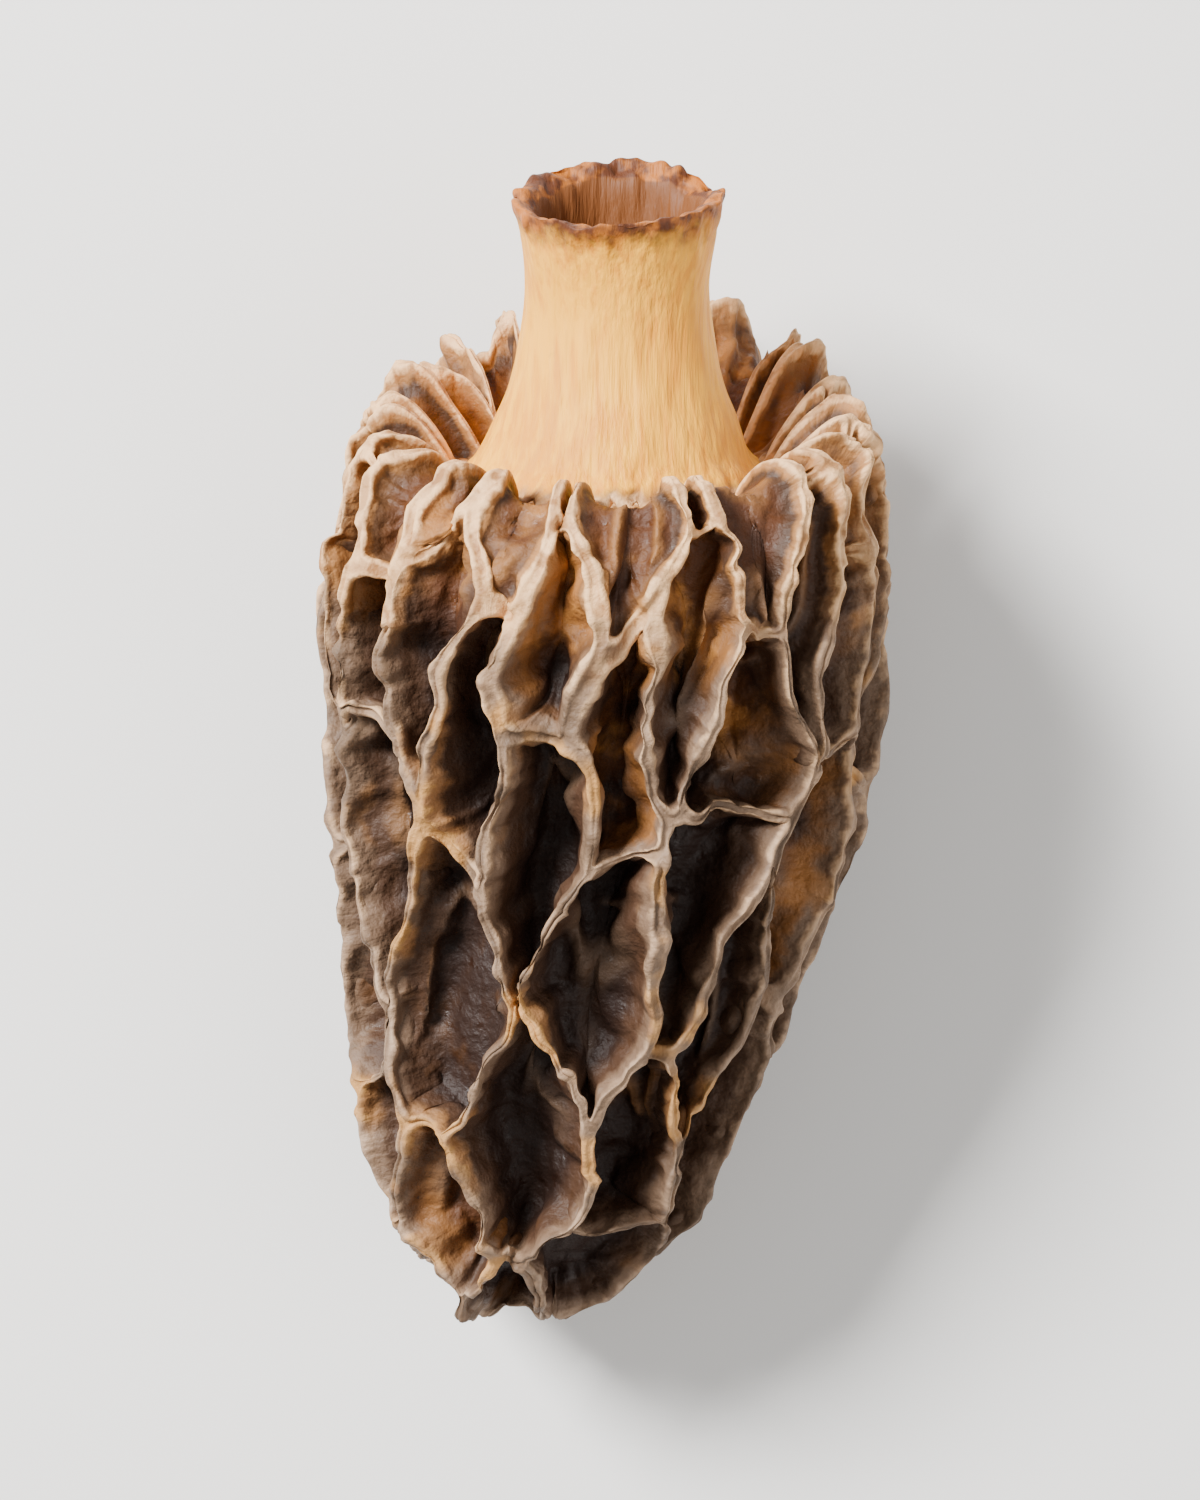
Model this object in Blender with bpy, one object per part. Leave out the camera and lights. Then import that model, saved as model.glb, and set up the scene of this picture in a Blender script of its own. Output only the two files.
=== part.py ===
"""Dried morel mushroom: one hollow piece, its pitted cap and the stem that it grew on.

The mushroom is modelled growing upright, with the stem's cut end at height 0 and the tip on
top, and is then laid on its side with the stem towards +Y.

The cap's pits are first modelled on a unit ball. A direction from the ball's centre stands
for a place on the cap: the ball's north pole is the tip, and the circle RIM_COLATITUDE below
it is the groove where the cap meets the stem. How deep a point lies in the ball stands for
its depth below the ridges' crests.

Run with: blender --background --python part.py
"""

import math
import random

import bmesh
import bpy
import numpy as np
from mathutils import Matrix, Vector

MM = 0.001

# The cap's outline over the crests, from the tip to the groove at the stem: radius, height.
CAP_OUTLINE_MM = (
    (0.0, 31.2),
    (2.6, 30.3),
    (4.4, 27.9),
    (5.5, 24.8),
    (6.7, 20.0),
    (7.6, 15.0),
    (7.9, 11.2),
    (7.4, 8.6),
    (6.3, 7.3),
    (5.1, 7.2),
    (4.2, 7.9),
)
# The stem from the groove to its cut end, then back up its bore and round the cap's cavity.
STEM_OUTLINE_MM = (
    (3.75, 7.3),
    (3.3, 6.2),
    (2.8, 4.9),
    (2.45, 3.4),
    (2.4, 2.2),
    (2.6, 1.0),
    (2.85, 0.15),
    (2.75, 0.0),
)
CAVITY_OUTLINE_MM = (
    (2.25, 0.1),
    (1.9, 1.2),
    (1.7, 3.0),
    (1.8, 5.0),
    (2.3, 7.4),
    (3.1, 9.8),
    (4.3, 12.0),
    (4.6, 14.6),
    (4.1, 18.4),
    (3.2, 22.2),
    (2.0, 25.2),
    (0.9, 26.8),
)
CAVITY_TOP_MM = 27.2

# The net of pits: columns of pits, nearer to the tip with fewer columns.
RIM_COLATITUDE = 1.95  # radians on the ball
TIP_CROWDING = 1.35  # above 1, the pits get shorter towards the tip
BANDS = (  # number of columns, first and last colatitude, pits in each column
    (7, 0.2, 0.5, 1),
    (12, 0.5, 0.95, 1),
    (18, 0.95, 1.42, 1),
    (26, 1.42, RIM_COLATITUDE, 2),
)
STAGGER = 0.25  # how far neighbouring columns are shifted, in pits
JITTER = 0.22  # how far a pit strays from its place, in pits
SEED = 5
RIM_ROUNDS = 6  # of evening out the corners at the groove

CREST_HALF_MM = 0.27  # half the thickness of a ridge at its crest
CREST_ROUNDING_MM = 0.12  # how far the crest's edges lie below its middle
FOOT_INSET_MM = 0.58  # from a ridge's middle to the foot of its wall
FOOT_DEPTH_SHARE = 0.85  # the depth of the wall's foot, as a share of the floor's
LEAST_KEPT = 0.1  # a narrow pit is drawn in to no less than this share of its width
PIT_DEPTH_MM = 1.9
TIP_DEPTH_SHARE = 0.35  # pits are shallow at the tip, and reach full depth a third of the way
TIP_DEPTH_GAIN = 2.2
SHOULDER_DEPTH_SHARE = 0.4  # pits are shallow where the cap turns in to the stem
SHOULDER_FROM, SHOULDER_TO = 0.72, 0.92  # where they get shallow, as shares of the way down
RIB_SINK_MM = 0.45  # how far the cross ribs lie below the ridges
BALL_DEPTH_MM = 10.0  # the depth that the ball's centre stands for
NEAR_POLE = 0.05  # radians from the pole where the ball's axes have no use

# How it has grown and dried out of true. The front is the side that faces up when it lies.
TWIST = math.radians(10)
CAP_LEAN_MM = -2.6  # of the tip, sideways
STEM_LIFT_MM = 1.4  # of the cut end, towards the front
STEM_LIFT_END_MM = 10.0  # how far from the cut end the stem starts to curve
SHOULDER_SLANT = 0.32  # the cap's shoulder reaches further down the stem at the back
SHOULDER_RADII_MM = (3.0, 7.9)  # where the slant starts, and where it is full
SHOULDER_HEIGHTS_MM = (8.0, 22.0)  # where it is full, and where it ends
FLATTEN = 0.95
LUMP_MM = 0.3
LUMPS = (  # each a wave's turns for a millimetre along x, y and z, and where it starts
    (0.38, 0.0, 0.43, 4.4),
    (0.0, 0.55, -0.31, 2.1),
)

# How it lies: on the back of its cap, with the crests it lies on pressed flat.
LIE_TILT = math.radians(9)
PRESSED_MM = 0.4

CAP_COLOUR = (0.145, 0.082, 0.045, 1.0)
CAP_ROUGHNESS = 0.85


def smooth_curve(points, steps=24):
    """Points along a Catmull-Rom curve through the given ones, as an array."""
    known = np.array(points, float)
    known = np.vstack([2 * known[0] - known[1], known, 2 * known[-1] - known[-2]])
    share = np.linspace(0, 1, steps, endpoint=False)[:, None]
    found = []
    for a, b, c, d in zip(known, known[1:], known[2:], known[3:]):
        found.append(
            0.5
            * (
                2 * b
                + (c - a) * share
                + (2 * a - 5 * b + 4 * c - d) * share**2
                + (3 * b - a - 3 * c + d) * share**3
            )
        )
    return np.vstack([*found, known[-2]])


class CapSurface:
    """The smooth surface over the cap's crests, and where the ball's directions meet it."""

    def __init__(self):
        self.line = smooth_curve(CAP_OUTLINE_MM)
        steps = np.linalg.norm(np.diff(self.line, axis=0), axis=1)
        self.arc = np.concatenate([[0], np.cumsum(steps)])
        slope = np.gradient(self.line, self.arc, axis=0)
        slope /= np.linalg.norm(slope, axis=1)[:, None]
        self.normal = np.stack([-slope[:, 1], slope[:, 0]], axis=1)

    def arc_at(self, colatitude):
        share = min(colatitude / RIM_COLATITUDE, 1.0)
        return self.arc[-1] * share**TIP_CROWDING

    def read(self, table, arc):
        return [float(np.interp(arc, self.arc, column)) for column in table.T]

    def scales(self, direction):
        """Millimetres for each radian on the ball here, round the cap and along it."""
        colatitude = max(direction.angle(Vector((0, 0, 1))), NEAR_POLE)
        radius = self.read(self.line, self.arc_at(colatitude))[0]
        share = min(colatitude / RIM_COLATITUDE, 1.0)
        along = self.arc[-1] * TIP_CROWDING / RIM_COLATITUDE * share ** (TIP_CROWDING - 1)
        return radius / math.sin(colatitude), along

    def place(self, ball_point):
        """The cap's point, in millimetres, for a point in the ball."""
        direction = ball_point.normalized()
        depth = (1 - ball_point.length) * BALL_DEPTH_MM
        arc = self.arc_at(direction.angle(Vector((0, 0, 1))))
        radius, height = self.read(self.line, arc)
        out, up = self.read(self.normal, arc)
        angle = math.atan2(direction.y, direction.x)
        radius -= out * depth
        return Vector((radius * math.cos(angle), radius * math.sin(angle), height - up * depth))


def ball_direction(colatitude, angle):
    flat = math.sin(colatitude)
    return Vector((flat * math.cos(angle), flat * math.sin(angle), math.cos(colatitude)))


def pit_centres():
    """The middle of each pit on the ball, then mirror points past the groove that end the net."""
    rng = random.Random(SEED)
    pits = [ball_direction(0.0, 0.0)]
    past_rim = []
    for columns, first, last, count in BANDS:
        pitch = (last - first) / count
        for column in range(columns):
            shift = STAGGER if column % 2 else -STAGGER
            for row in range(count):
                angle = (column + JITTER * rng.uniform(-1, 1)) * math.tau / columns
                place = row + 0.5 + shift + JITTER * rng.uniform(-1, 1)
                colatitude = first + pitch * place
                pits.append(ball_direction(colatitude, angle))
            if last == RIM_COLATITUDE:
                past_rim.append(ball_direction(2 * last - colatitude, angle))
    return pits, past_rim


def ridge_net():
    """A bmesh on the unit ball with one face for each pit, open at the groove.

    The hull of points on a ball joins the pits that are neighbours, and the ridges run
    midway between neighbours, so each pit's corners are the hull's face normals round it.
    """
    pits, past_rim = pit_centres()
    hull = bmesh.new()
    for point in pits + past_rim:
        hull.verts.new(point)
    hull.verts.ensure_lookup_table()
    wanted = list(hull.verts)[: len(pits)]
    bmesh.ops.convex_hull(hull, input=list(hull.verts))
    bmesh.ops.recalc_face_normals(hull, faces=hull.faces)
    net = bmesh.new()
    corners = {face: net.verts.new(face.normal) for face in hull.faces}
    for centre in wanted:
        net.faces.new([corners[face] for face in faces_in_order(centre)])
    lone = [vert for vert in net.verts if not vert.link_faces]
    bmesh.ops.delete(net, geom=lone, context="VERTS")
    hull.free()
    bmesh.ops.recalc_face_normals(net, faces=net.faces)
    return net


def faces_in_order(vert):
    """The faces round a vertex, one after the other, counter-clockwise from outside."""
    loop = vert.link_loops[0]
    found = []
    while loop.face not in found:
        found.append(loop.face)
        loop = loop.link_loop_prev.link_loop_radial_next
    return found


def is_rib(edge, surface):
    """Whether a ridge of the net runs round the cap and not along it."""
    a, b = (vert.co.normalized() for vert in edge.verts)
    middle = (a + b).normalized()
    across = Vector((0, 0, 1)).cross(middle).normalized()
    round_scale, along_scale = surface.scales(middle)
    sideways = abs((b - a).dot(across)) * round_scale
    along = abs((b - a).dot(middle.cross(across))) * along_scale
    return sideways > along


def even_rim(net):
    """Puts the open edge of the net on the groove's circle, and evens out its corners."""
    rim = [vert for vert in net.verts if vert.is_boundary]
    for _ in range(RIM_ROUNDS):
        for vert in rim:
            beside = [edge.other_vert(vert).co for edge in vert.link_edges if edge.is_boundary]
            middle = sum(beside, Vector())
            vert.co = ball_direction(RIM_COLATITUDE, math.atan2(middle.y, middle.x))


def sink_ribs(net, surface):
    """Splits each inner ridge in two, and lowers the middles of the ribs."""
    inner = [edge for edge in net.edges if not edge.is_boundary]
    ribs = {edge for edge in inner if is_rib(edge, surface)}
    for edge in inner:
        sink = RIB_SINK_MM if edge in ribs else 0.0
        middle = (edge.verts[0].co + edge.verts[1].co).normalized()
        _, vert = bmesh.utils.edge_split(edge, edge.verts[0], 0.5)
        vert.co = middle * (1 - sink / BALL_DEPTH_MM)


def ease(value, low, high):
    """0 below low, 1 above high, and a smooth rise between them."""
    share = min(max((value - low) / (high - low), 0.0), 1.0)
    return share * share * (3 - 2 * share)


def pit_depth(colatitude):
    """The depth of a pit: shallower at the tip, and where the cap turns in to the stem."""
    share = colatitude / RIM_COLATITUDE
    at_tip = min(1.0, TIP_DEPTH_SHARE + TIP_DEPTH_GAIN * share)
    lost = (1 - SHOULDER_DEPTH_SHARE) * ease(share, SHOULDER_FROM, SHOULDER_TO)
    return PIT_DEPTH_MM * at_tip * (1 - lost)


def sink_face(net, face, surface, inset, depth):
    """Extrudes a face of the net into the ball, drawn in from its ridges. Returns the floor."""
    made = bmesh.ops.extrude_discrete_faces(net, faces=[face])["faces"][0]
    middle = sum((vert.co for vert in made.verts), Vector()).normalized()
    across = Vector((0, 0, 1)).cross(middle)
    across = across.normalized() if across.length > NEAR_POLE else Vector((1, 0, 0))
    along = middle.cross(across).normalized()
    axes = tuple(zip((across, along), surface.scales(middle)))
    halves = [max(abs((v.co - middle).dot(axis)) for v in made.verts) for axis, _ in axes]
    for vert in made.verts:
        from_middle = vert.co - middle
        for (axis, scale), half in zip(axes, halves):
            keep = max(1 - inset / (half * scale), LEAST_KEPT)
            vert.co -= axis * from_middle.dot(axis) * (1 - keep)
        vert.co = vert.co.normalized() * (1 - depth / BALL_DEPTH_MM)
    return made


def sink_pits(net, surface):
    """Turns each face of the net into a pit with a ridge round it and a hollowed floor."""
    for face in list(net.faces):
        colatitude = face.calc_center_median().angle(Vector((0, 0, 1)))
        depth = pit_depth(colatitude)
        brow = sink_face(net, face, surface, CREST_HALF_MM, CREST_ROUNDING_MM)
        wall = FOOT_INSET_MM - CREST_HALF_MM
        foot = sink_face(net, brow, surface, wall, FOOT_DEPTH_SHARE * depth)
        made = bmesh.ops.poke(net, faces=[foot])["verts"][0]
        made.co = made.co.normalized() * (1 - depth / BALL_DEPTH_MM)


def add_stem(mushroom):
    """Grows the stem, its bore and the cap's cavity from the open groove, ring by ring."""
    edges = [edge for edge in mushroom.edges if edge.is_boundary]
    for radius, height in STEM_OUTLINE_MM + CAVITY_OUTLINE_MM:
        made = bmesh.ops.extrude_edge_only(mushroom, edges=edges)["geom"]
        edges = [item for item in made if isinstance(item, bmesh.types.BMEdge)]
        for vert in (item for item in made if isinstance(item, bmesh.types.BMVert)):
            angle = math.atan2(vert.co.y, vert.co.x)
            vert.co = (radius * math.cos(angle), radius * math.sin(angle), height)
    cavity_top = bmesh.ops.contextual_create(mushroom, geom=edges)["faces"]
    centre = bmesh.ops.poke(mushroom, faces=cavity_top)["verts"][0]
    centre.co = (0, 0, CAVITY_TOP_MM)


def dry_out(mushroom):
    """Slants, lumps, flattens, twists and bends the true shape as growing and drying do."""
    widest = max(radius for radius, _ in CAP_OUTLINE_MM)
    for vert in mushroom.verts:
        x, y, z = vert.co
        shoulder = ease(math.hypot(x, y), *SHOULDER_RADII_MM)
        shoulder *= 1 - ease(z, *SHOULDER_HEIGHTS_MM)
        lump = sum(math.sin(a * x + b * y + c * z + start) for a, b, c, start in LUMPS)
        swell = 1 + LUMP_MM / widest * lump
        grown = Vector((x * swell, y * swell * FLATTEN, z))
        grown.z -= SHOULDER_SLANT * (widest - y) * shoulder
        share = z / CAP_OUTLINE_MM[0][1]
        grown.rotate(Matrix.Rotation(TWIST * share, 3, "Z"))
        grown.x += CAP_LEAN_MM * share**2
        curve = max(1 - z / STEM_LIFT_END_MM, 0.0)
        grown.z += 2 * STEM_LIFT_MM / STEM_LIFT_END_MM * curve * grown.y
        grown.y += STEM_LIFT_MM * curve**2
        vert.co = grown


def lay_down(mushroom):
    """Lays it on its back with the stem towards +Y, and presses the lowest crests flat."""
    lying = Matrix.Rotation(math.pi / 2 + LIE_TILT, 4, "X")
    bmesh.ops.transform(mushroom, matrix=lying, verts=mushroom.verts)
    floor = min(vert.co.z for vert in mushroom.verts) + PRESSED_MM
    for vert in mushroom.verts:
        vert.co.z = max(vert.co.z, floor)
    points = np.array([vert.co for vert in mushroom.verts])
    low, high = points.min(axis=0), points.max(axis=0)
    centre = Vector(((low[0] + high[0]) / 2, (low[1] + high[1]) / 2, low[2]))
    bmesh.ops.translate(mushroom, vec=-centre, verts=mushroom.verts)


def cap_material():
    material = bpy.data.materials.new("dried_morel_flesh")
    material.use_nodes = True
    shader = material.node_tree.nodes["Principled BSDF"]
    shader.inputs["Base Color"].default_value = CAP_COLOUR
    shader.inputs["Roughness"].default_value = CAP_ROUGHNESS
    shader.inputs["Metallic"].default_value = 0.0
    return material


def build_mushroom():
    """The whole mushroom as one closed bmesh, in millimetres."""
    surface = CapSurface()
    mushroom = ridge_net()
    even_rim(mushroom)
    sink_ribs(mushroom, surface)
    sink_pits(mushroom, surface)
    for vert in mushroom.verts:
        vert.co = surface.place(vert.co)
    add_stem(mushroom)
    dry_out(mushroom)
    lay_down(mushroom)
    bmesh.ops.recalc_face_normals(mushroom, faces=mushroom.faces)
    bmesh.ops.triangulate(mushroom, faces=mushroom.faces)
    return mushroom


def main():
    for obj in list(bpy.data.objects):
        bpy.data.objects.remove(obj)
    mushroom = build_mushroom()
    bmesh.ops.scale(mushroom, vec=(MM, MM, MM), verts=mushroom.verts)
    mesh = bpy.data.meshes.new("dried_morel")
    mushroom.to_mesh(mesh)
    mushroom.free()
    mesh.shade_smooth()
    mesh.materials.append(cap_material())
    collection = bpy.data.collections.new("dried morel mushroom")
    bpy.context.scene.collection.children.link(collection)
    collection.objects.link(bpy.data.objects.new("dried_morel", mesh))


main()
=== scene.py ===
"""A dried morel mushroom lying on its side on a pale table, in soft studio light.

The mushroom is grown upright, with the stem's cut end at height 0 and the tip on top. It is
then bent as drying bends it, laid on its back with the stem towards +Y, and pressed flat
where it touches the table.
"""

from __future__ import annotations

import itertools
import logging
import math
import random
from dataclasses import dataclass, field
from enum import Enum

import bmesh
import bpy
import numpy as np
from mathutils import Matrix, Vector


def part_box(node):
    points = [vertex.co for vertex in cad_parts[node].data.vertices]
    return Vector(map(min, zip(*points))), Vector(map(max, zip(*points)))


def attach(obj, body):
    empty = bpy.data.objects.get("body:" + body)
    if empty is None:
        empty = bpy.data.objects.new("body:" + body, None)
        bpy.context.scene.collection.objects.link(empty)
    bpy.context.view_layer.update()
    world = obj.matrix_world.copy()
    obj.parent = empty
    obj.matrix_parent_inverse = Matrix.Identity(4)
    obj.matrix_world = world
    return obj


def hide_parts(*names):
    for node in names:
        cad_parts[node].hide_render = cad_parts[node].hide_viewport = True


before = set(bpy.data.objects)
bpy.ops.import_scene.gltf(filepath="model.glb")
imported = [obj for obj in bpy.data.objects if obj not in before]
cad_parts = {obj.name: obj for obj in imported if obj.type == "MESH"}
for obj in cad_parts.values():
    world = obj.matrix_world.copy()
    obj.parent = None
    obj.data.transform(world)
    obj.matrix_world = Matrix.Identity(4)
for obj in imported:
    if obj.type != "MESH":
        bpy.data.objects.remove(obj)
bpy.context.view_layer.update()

LOG = logging.getLogger("morel")
MM = 0.001
NODE = "dried_morel"
BODY = "root"
ROOT = "root"  # the name of the attribute that holds the roots

Triple = tuple[float, float, float]
Colour = Triple
Span = tuple[float, float]
Outline = tuple[tuple[float, float], ...]


def smooth_curve(points: Outline, steps: int = 24) -> np.ndarray:
    """Draw a Catmull-Rom curve through points.

    Args:
        points: the points that the curve passes through.
        steps: how many points to make for each stretch.

    Returns:
        The curve's points, one to a row.
    """
    known = np.array(points, float)
    known = np.vstack([2 * known[0] - known[1], known, 2 * known[-1] - known[-2]])
    share = np.linspace(0, 1, steps, endpoint=False)[:, None]
    found = []
    for a, b, c, d in zip(known, known[1:], known[2:], known[3:]):
        linear = (c - a) * share
        square = (2 * a - 5 * b + 4 * c - d) * share**2
        cube = (3 * b - a - 3 * c + d) * share**3
        found.append(0.5 * (2 * b + linear + square + cube))
    return np.vstack([*found, known[-2]])


def even_steps(line: np.ndarray, step: float) -> np.ndarray:
    """Re-space a line's points evenly.

    Args:
        line: the line's points, one to a row.
        step: about how far apart the new points are.

    Returns:
        The new points, the first and last ones kept.
    """
    lengths = np.linalg.norm(np.diff(line, axis=0), axis=1)
    arc = np.concatenate([[0], np.cumsum(lengths)])
    count = max(int(round(arc[-1] / step)), 1)
    wanted = np.linspace(0, arc[-1], count + 1)
    return np.stack([np.interp(wanted, arc, column) for column in line.T], axis=1)


def ease(value: np.ndarray, low: float, high: float) -> np.ndarray:
    """Return 0 below low, 1 above high, and a smooth rise between them."""
    share = np.clip((value - low) / (high - low), 0.0, 1.0)
    return share * share * (3 - 2 * share)


def unit_rows(vectors: np.ndarray) -> np.ndarray:
    """Return each row's vector at length 1."""
    return vectors / np.linalg.norm(vectors, axis=1)[:, None]


def read_all(items: bpy.types.bpy_prop_collection, name: str, width: int) -> np.ndarray:
    """Read one property of every item of a mesh.

    Args:
        items: the mesh's vertices, or an attribute's data.
        name: the property's name.
        width: how many numbers each item has.

    Returns:
        The values, one item to a row.
    """
    values = np.zeros(len(items) * width, np.float32)
    items.foreach_get(name, values)
    return values.reshape(-1, width).astype(float)


@dataclass(frozen=True)
class Layer:
    """One layer of noise."""

    height: float  # how strong it is
    size: float | Triple  # the size of its lumps in millimetres, or one size for each axis
    start: float = 0.0  # how far off it is read, so that no two layers look alike


Layers = tuple[Layer, ...]


class Noise:
    """Smooth random values over space, the same ones on every run."""

    SIZE = 16384
    STRIDES = np.array([73856093, 19349663, 83492791])

    def __init__(self, seed: int) -> None:
        """Draw the table of values for a seed."""
        self.values = np.random.default_rng(seed).uniform(-1.0, 1.0, self.SIZE)

    def at(self, points: np.ndarray, wavelength: float | Triple) -> np.ndarray:
        """Read the noise.

        Args:
            points: where to read it, one point to a row.
            wavelength: the size of its lumps, or one size for each axis.

        Returns:
            One value for each point, from -1 to 1.
        """
        scaled = points / np.array(wavelength)
        cell = np.floor(scaled).astype(np.int64)
        share = scaled - cell
        share = share**3 * (share * (share * 6 - 15) + 10)
        total = np.zeros(len(points))
        for corner in itertools.product((0, 1), repeat=3):
            weight = np.where(corner, share, 1 - share).prod(axis=1)
            key = ((cell + corner) @ self.STRIDES) % self.SIZE
            total += weight * self.values[key]
        return total

    def pile(self, points: np.ndarray, layers: Layers) -> np.ndarray:
        """Add layers of noise up."""
        return sum(layer.height * self.at(points + layer.start, layer.size) for layer in layers)

    def creases(self, points: np.ndarray, layers: Layers) -> np.ndarray:
        """Add layers up that each have sharp valleys: 0 in them and rising between them."""
        parts = (np.abs(self.at(points + layer.start, layer.size)) for layer in layers)
        return sum(layer.height * part for layer, part in zip(layers, parts))


def ball_direction(colatitude: float, angle: float) -> Vector:
    """Return the unit vector this far from the pole and this far round."""
    flat = math.sin(colatitude)
    return Vector((flat * math.cos(angle), flat * math.sin(angle), math.cos(colatitude)))


@dataclass
class CapSurface:
    """The smooth surface over the cap's crests, and where a unit ball's points meet it.

    A direction from the ball's centre stands for a place on the cap: the north pole is the
    tip, and the circle rim_colatitude below it is the groove at the stem. How deep a point
    lies in the ball stands for its depth below the crests.
    """

    outline: Outline = (
        (0.0, 31.2),
        (2.6, 30.3),
        (4.4, 27.9),
        (5.5, 24.8),
        (6.7, 20.0),
        (7.6, 15.0),
        (7.9, 11.2),
        (7.4, 8.6),
        (6.3, 7.3),
        (5.1, 7.2),
        (4.2, 7.9),
    )
    rim_colatitude: float = 1.95
    tip_crowding: float = 1.35
    ball_depth: float = 10.0

    def __post_init__(self) -> None:
        """Measure the outline and its normals."""
        self.line = smooth_curve(self.outline)
        steps = np.linalg.norm(np.diff(self.line, axis=0), axis=1)
        self.arc = np.concatenate([[0], np.cumsum(steps)])
        slope = np.gradient(self.line, self.arc, axis=0)
        slope /= np.linalg.norm(slope, axis=1)[:, None]
        self.normal = np.stack([-slope[:, 1], slope[:, 0]], axis=1)

    @property
    def length(self) -> float:
        """Return the height of the tip above the stem's cut end."""
        return self.outline[0][1]

    @property
    def widest(self) -> float:
        """Return the largest radius of the outline's points."""
        return max(radius for radius, _ in self.outline)

    def scales(self, direction: Vector) -> tuple[float, float]:
        """Work out how many millimetres a radian on the ball stands for.

        Args:
            direction: the place, as a direction in the ball.

        Returns:
            The millimetres round the cap, and those along it.
        """
        colatitude = max(direction.angle(Vector((0, 0, 1))), 0.05)
        share = min(colatitude / self.rim_colatitude, 1.0)
        arc = self.arc[-1] * share**self.tip_crowding
        radius = float(np.interp(arc, self.arc, self.line[:, 0]))
        stretch = self.arc[-1] * self.tip_crowding / self.rim_colatitude
        along = stretch * share ** (self.tip_crowding - 1)
        return radius / math.sin(colatitude), along

    def place(self, ball: np.ndarray) -> np.ndarray:
        """Find the cap's points for points in the ball.

        Args:
            ball: points in the unit ball, one to a row.

        Returns:
            The cap's points, in millimetres.
        """
        reach = np.linalg.norm(ball, axis=1)
        depth = (1 - reach) * self.ball_depth
        colatitude = np.arccos(np.clip(ball[:, 2] / reach, -1, 1))
        share = np.minimum(colatitude / self.rim_colatitude, 1.0)
        arc = self.arc[-1] * share**self.tip_crowding
        radius, height = (np.interp(arc, self.arc, column) for column in self.line.T)
        out, up = (np.interp(arc, self.arc, column) for column in self.normal.T)
        angle = np.arctan2(ball[:, 1], ball[:, 0])
        radius = radius - out * depth
        flat = radius[:, None] * np.stack([np.cos(angle), np.sin(angle)], axis=1)
        return np.column_stack([flat, height - up * depth])


@dataclass
class PitNet:
    """The net of ridges round the cap's pits, as polygons on the unit ball."""

    surface: CapSurface
    bands: tuple[tuple[int, float, float, int], ...] = (
        (7, 0.2, 0.5, 1),
        (12, 0.5, 0.95, 1),
        (18, 0.95, 1.42, 1),
        (26, 1.42, 1.95, 2),
    )
    stagger: float = 0.25
    jitter: float = 0.22
    seed: int = 5
    rim_rounds: int = 6

    def pit_centres(self) -> tuple[list[Vector], list[Vector]]:
        """Place the pits in rows round the cap.

        Returns:
            The pits' middles, and mirror points past the groove that end the net there.
        """
        rng = random.Random(self.seed)
        pits = [ball_direction(0.0, 0.0)]
        past_rim = []
        for columns, first, last, count in self.bands:
            pitch = (last - first) / count
            for column in range(columns):
                shift = self.stagger if column % 2 else -self.stagger
                for row in range(count):
                    turn = column + self.jitter * rng.uniform(-1, 1)
                    angle = turn * math.tau / columns
                    place = row + 0.5 + shift + self.jitter * rng.uniform(-1, 1)
                    colatitude = first + pitch * place
                    pits.append(ball_direction(colatitude, angle))
                if last == self.surface.rim_colatitude:
                    past_rim.append(ball_direction(2 * last - colatitude, angle))
        return pits, past_rim

    def polygons(self) -> tuple[list[Vector], list[list[int]]]:
        """Find the ridges midway between neighbouring pits.

        The hull of points on a ball joins neighbours, so each pit's corners are the normals
        of the hull's faces round it.

        Returns:
            The corners, and the corner numbers of each pit, counter-clockwise from outside.
        """
        pits, past_rim = self.pit_centres()
        hull = bmesh.new()
        for point in pits + past_rim:
            hull.verts.new(point)
        hull.verts.ensure_lookup_table()
        wanted = list(hull.verts)[: len(pits)]
        bmesh.ops.convex_hull(hull, input=list(hull.verts))
        bmesh.ops.recalc_face_normals(hull, faces=hull.faces)
        hull.faces.index_update()
        corners = [face.normal.copy() for face in hull.faces]
        rings = [self._ring_of(centre) for centre in wanted]
        hull.free()
        used = sorted({number for ring in rings for number in ring})
        renumber = {old: new for new, old in enumerate(used)}
        rings = [[renumber[number] for number in ring] for ring in rings]
        corners = [corners[number] for number in used]
        self._even_rim(corners, rings)
        return corners, rings

    @staticmethod
    def _ring_of(centre: bmesh.types.BMVert) -> list[int]:
        """Find the hull's faces round a pit.

        Args:
            centre: the pit's middle.

        Returns:
            The hull's face numbers, counter-clockwise from outside.
        """
        loop = centre.link_loops[0]
        found: list[int] = []
        while loop.face.index not in found:
            found.append(loop.face.index)
            loop = loop.link_loop_prev.link_loop_radial_next
        return found

    def _even_rim(self, corners: list[Vector], rings: list[list[int]]) -> None:
        """Put the net's open edge on the groove's circle, and even out its corners.

        Args:
            corners: the net's corners, some of which move.
            rings: the corner numbers of each pit.
        """
        rim = self.rim_loop(rings)
        for _ in range(self.rim_rounds):
            for before, here, after in zip(rim[-1:] + rim[:-1], rim, rim[1:] + rim[:1]):
                middle = corners[before] + corners[after]
                angle = math.atan2(middle.y, middle.x)
                corners[here] = ball_direction(self.surface.rim_colatitude, angle)

    @staticmethod
    def rim_loop(rings: list[list[int]]) -> list[int]:
        """Follow the net's open edge.

        Args:
            rings: the corner numbers of each pit.

        Returns:
            The numbers of the corners along it, in order.
        """
        sides = {(a, b) for ring in rings for a, b in zip(ring, ring[1:] + ring[:1])}
        onward = {a: b for a, b in sides if (b, a) not in sides}
        start = min(onward)
        found = [start]
        while onward[found[-1]] != start:
            found.append(onward[found[-1]])
        return found


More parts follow.
